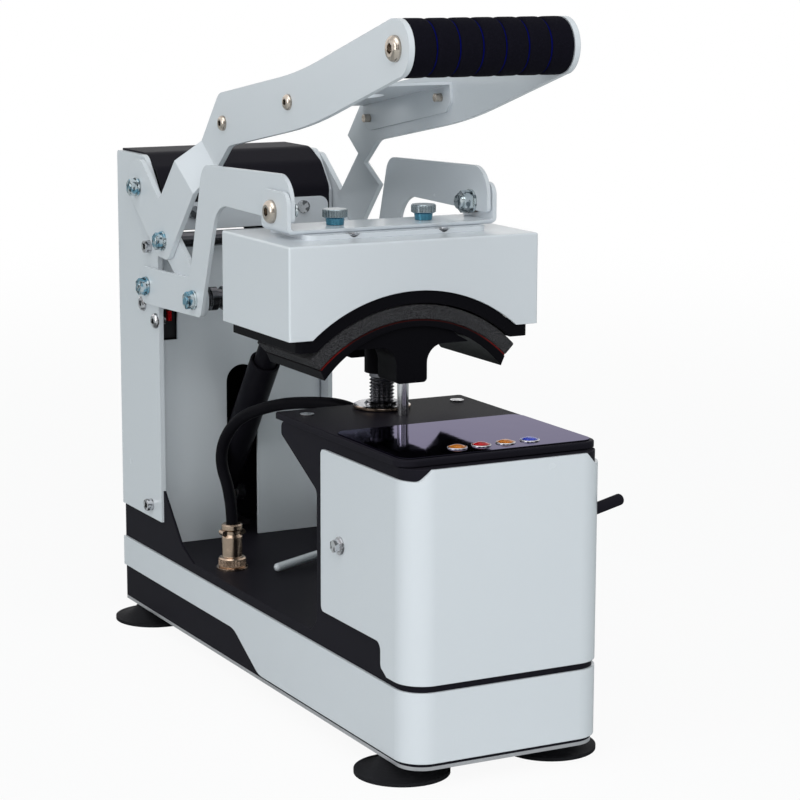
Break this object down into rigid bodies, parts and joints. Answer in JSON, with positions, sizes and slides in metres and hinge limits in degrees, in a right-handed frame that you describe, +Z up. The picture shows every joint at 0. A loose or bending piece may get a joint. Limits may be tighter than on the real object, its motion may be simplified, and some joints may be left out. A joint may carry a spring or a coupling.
{
  "type": "cap heat press",
  "caption": "Bench press with a hinged curved hot head, toggle handle, gas strut and adjustable curved lower platen that prints the front of a cap",
  "frame": {"origin": "on the table under the middle of the footprint, midway between the front cover's face and the edge of the rear feet", "axes": "+X to the right as the user stands at the front, +Y to the back towards the column, +Z up"},
  "size_m": [0.1936, 0.507, 0.4979],
  "materials": {
    "white_paint": "semi-gloss powder coat",
    "black_paint": "fine-texture matte powder coat",
    "black_zinc": "blackened",
    "black_plastic": "matte",
    "black_gloss": "glossy film",
    "rubber": "matte",
    "foam": "speckled closed-cell foam",
    "grip_foam": "soft foam",
    "red_silicone": "satin",
    "cast_black": "black coated casting",
    "bright_steel": "polished",
    "nickel": "polished",
    "blue_zinc": "blue zinc",
    "amber": "translucent lens",
    "red": "translucent lens",
    "blue": "translucent lens",
    "circuit": "solder mask",
    "jacket": "satin cable jacket"
  },
  "bodies": {
    "frame": {"base_plate": "bright_steel", "chassis": "black_paint", "base_skirt": "white_paint", "front_cover": "white_paint", "top_panel": "black_paint", "control_overlay": "black_gloss", "rear_panel": "black_paint", "side_plate_left": "white_paint", "side_plate_right": "white_paint", "rear_hood": "black_paint", "column_panel": "white_paint", "cross_plate": "white_paint", "rubber_feet": "rubber", "frame_screws": "nickel", "mains_inlet": "black_plastic", "microswitch": "black_plastic", "panel_socket": "nickel", "cable_plug": "nickel", "cable": "jacket", "cable_gland": "black_plastic", "control_board": "circuit", "guide_rod": "bright_steel", "strut_mount": "bright_steel", "pivot_bolts": "blue_zinc", "button_bodies": "black_plastic"},
    "handle": {"handle_arm_left": "white_paint", "handle_arm_right": "white_paint", "handle_brace": "white_paint", "knee_shaft": "black_zinc", "grip_tube": "bright_steel", "foam_grip": "grip_foam", "handle_screws": "nickel"},
    "arms": {"arm_left": "white_paint", "arm_right": "white_paint", "arm_bar": "black_zinc", "head_bracket": "white_paint", "bracket_bolts": "nickel", "mount_plate": "white_paint", "mount_screws": "nickel", "head_housing": "white_paint", "heat_plate": "cast_black", "heating_element": "bright_steel"},
    "links": {"links": "white_paint"},
    "strut_tube": {"strut_cylinder": "black_paint"},
    "strut_piston": {"strut_rod": "black_paint"},
    "platen": {"lower_platen": "cast_black", "foam_pad": "foam", "silicone_liner": "red_silicone"},
    "adjuster": {"adjuster_screw": "nickel"},
    "thumb_left": {"thumb_screw_left": "blue_zinc"},
    "thumb_right": {"thumb_screw_right": "blue_zinc"},
    "side_switch": {"side_lever": "black_zinc"},
    "deck_catch": {"deck_lever": "white_paint"},
    "key_amber_left": {"button_amber_left": "amber"},
    "key_red": {"button_red": "red"},
    "key_amber_right": {"button_amber_right": "amber"},
    "key_blue": {"button_blue": "blue"},
    "plunger": {"switch_plunger": "red"},
    "rocker": {"power_rocker": "black_plastic"}
  },
  "joints": [
    {"name": "handle_lift", "type": "hinge", "parent": "frame", "child": "handle", "pos_m": [0, 0.1908, 0.3562], "axis": [-1, 0, 0], "range_deg": [0, 62]},
    {"name": "arm_swing", "type": "hinge", "parent": "frame", "child": "arms", "pos_m": [0, 0.1775, 0.28], "axis": [-1, 0, 0], "range_deg": [0, 26.6]},
    {"name": "link_turn", "type": "hinge", "parent": "arms", "child": "links", "pos_m": [0, 0.0843, 0.2812], "axis": [-1, 0, 0], "range_deg": [-50.8, 0]},
    {"name": "strut_tilt", "type": "hinge", "parent": "frame", "child": "strut_tube", "pos_m": [0, 0.2185, 0.098], "axis": [-1, 0, 0], "range_deg": [0, 7.5]},
    {"name": "strut_eye", "type": "hinge", "parent": "arms", "child": "strut_piston", "pos_m": [0, 0.0843, 0.2812], "axis": [-1, 0, 0], "range_deg": [-19.3, 0]},
    {"name": "pressure_wheel", "type": "hinge", "parent": "frame", "child": "adjuster", "pos_m": [0, -0.0705, 0.221], "axis": [0, 0, 1], "range_deg": [0, 1080]},
    {"name": "platen_height", "type": "slide", "parent": "frame", "child": "platen", "axis": [0, 0, -1], "range_m": [0, 0.0075]},
    {"name": "thumb_turn_left", "type": "hinge", "parent": "arms", "child": "thumb_left", "pos_m": [-0.035, -0.0665, 0.355], "axis": [0, 0, 1], "continuous": true},
    {"name": "thumb_turn_right", "type": "hinge", "parent": "arms", "child": "thumb_right", "pos_m": [0.035, -0.0665, 0.355], "axis": [0, 0, 1], "continuous": true},
    {"name": "side_lever_tip", "type": "hinge", "parent": "frame", "child": "side_switch", "pos_m": [0.062, -0.2375, 0.1685], "axis": [0, 1, 0], "range_deg": [0, 27]},
    {"name": "deck_lever_swing", "type": "hinge", "parent": "frame", "child": "deck_catch", "pos_m": [0.06, 0.0751, 0.0842], "axis": [0, 1, 0], "range_deg": [0, 20]},
    {"name": "press_amber_left", "type": "slide", "parent": "frame", "child": "key_amber_left", "axis": [0, 0, -1], "range_m": [0, 0.0015], "stiffness_N_per_m": 600},
    {"name": "press_red", "type": "slide", "parent": "frame", "child": "key_red", "axis": [0, 0, -1], "range_m": [0, 0.0015], "stiffness_N_per_m": 600},
    {"name": "press_amber_right", "type": "slide", "parent": "frame", "child": "key_amber_right", "axis": [0, 0, -1], "range_m": [0, 0.0015], "stiffness_N_per_m": 600},
    {"name": "press_blue", "type": "slide", "parent": "frame", "child": "key_blue", "axis": [0, 0, -1], "range_m": [0, 0.0015], "stiffness_N_per_m": 600},
    {"name": "plunger_press", "type": "slide", "parent": "frame", "child": "plunger", "axis": [0, 1, 0], "range_m": [0, 0.0015], "stiffness_N_per_m": 400},
    {"name": "rocker_flip", "type": "hinge", "parent": "frame", "child": "rocker", "pos_m": [0.03, 0.2385, 0.044], "axis": [1, 0, 0], "range_deg": [0, 12]}
  ],
  "couplings": [
    {"joint": "arm_swing", "follows": "handle_lift", "ratio": 0.427},
    {"joint": "link_turn", "follows": "handle_lift", "ratio": -0.817},
    {"joint": "strut_tilt", "follows": "handle_lift", "ratio": 0.1185},
    {"joint": "strut_eye", "follows": "handle_lift", "ratio": -0.3085},
    {"joint": "pressure_wheel", "follows": "platen_height", "rad_per_m": 2513.3}
  ]
}
